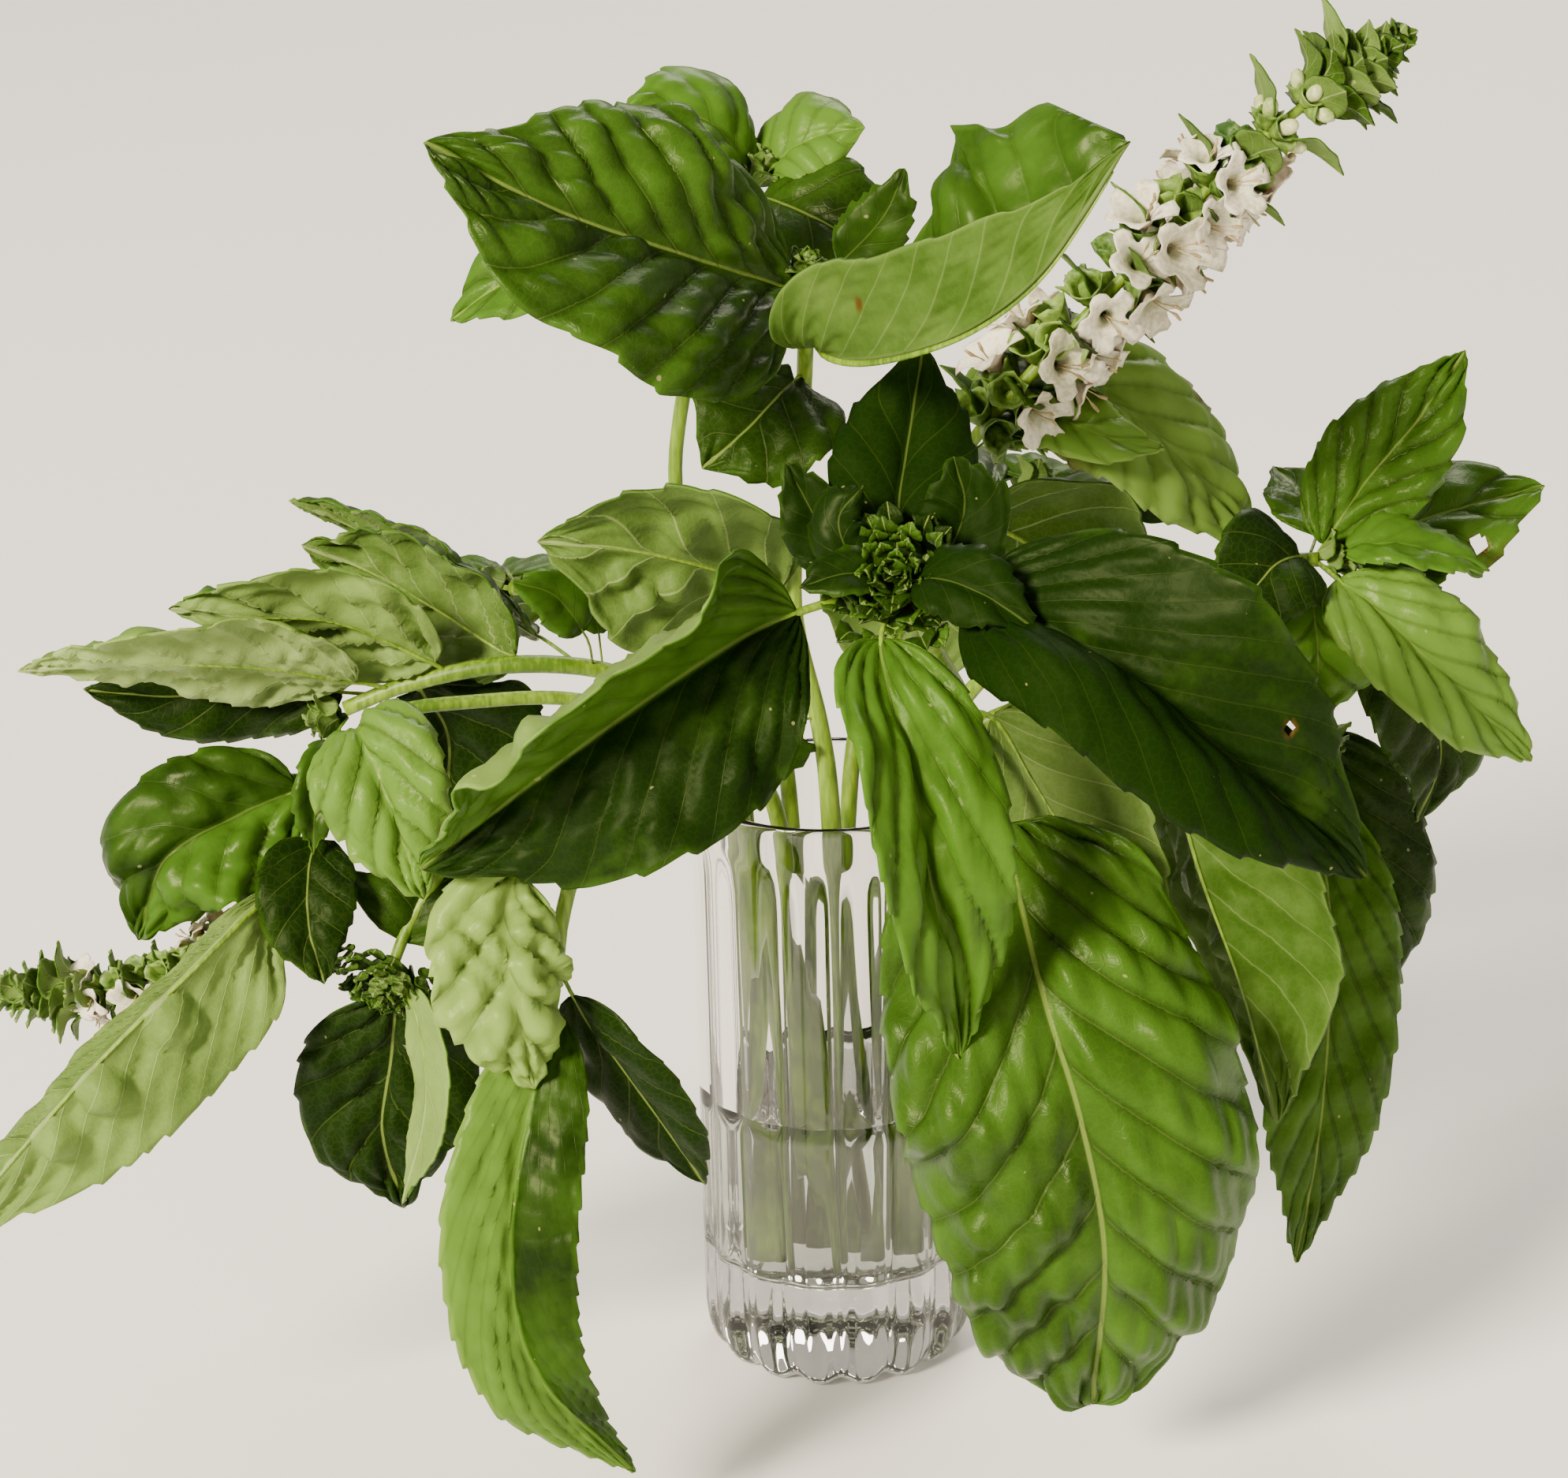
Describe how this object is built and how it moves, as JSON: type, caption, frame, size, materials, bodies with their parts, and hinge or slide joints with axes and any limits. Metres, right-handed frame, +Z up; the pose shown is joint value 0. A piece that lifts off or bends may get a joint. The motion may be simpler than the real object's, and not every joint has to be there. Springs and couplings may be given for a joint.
{
  "type": "bunch of basil in a glass of water",
  "caption": "Leafy sweet basil tops with two flower spikes, fanned out and drooping over a fluted glass of water.",
  "frame": {"origin": "centre of the glass's foot, on the plane it stands on", "axes": "+Z up along the glass's axis; -Y is the front, where the largest leaves hang; +X is to the right seen from the front"},
  "size_m": [0.342, 0.225, 0.3068],
  "materials": {
    "clear_glass": "clear, polished, with shallow vertical flutes",
    "water": "clear water, stood in for by a see-through plastic",
    "basil_green": "fresh leaves, glossy above and matte below"
  },
  "bodies": {
    "root": {"glass_tumbler": "clear_glass", "water": "water", "front_stem": "basil_green", "middle_stem": "basil_green", "flower_stem": "basil_green", "tall_back_stem": "basil_green", "left_stem": "basil_green", "low_left_stem": "basil_green", "hanging_stem": "basil_green", "right_stem": "basil_green", "low_right_stem": "basil_green", "back_right_stem": "basil_green", "back_left_stem": "basil_green"}
  },
  "joints": []
}
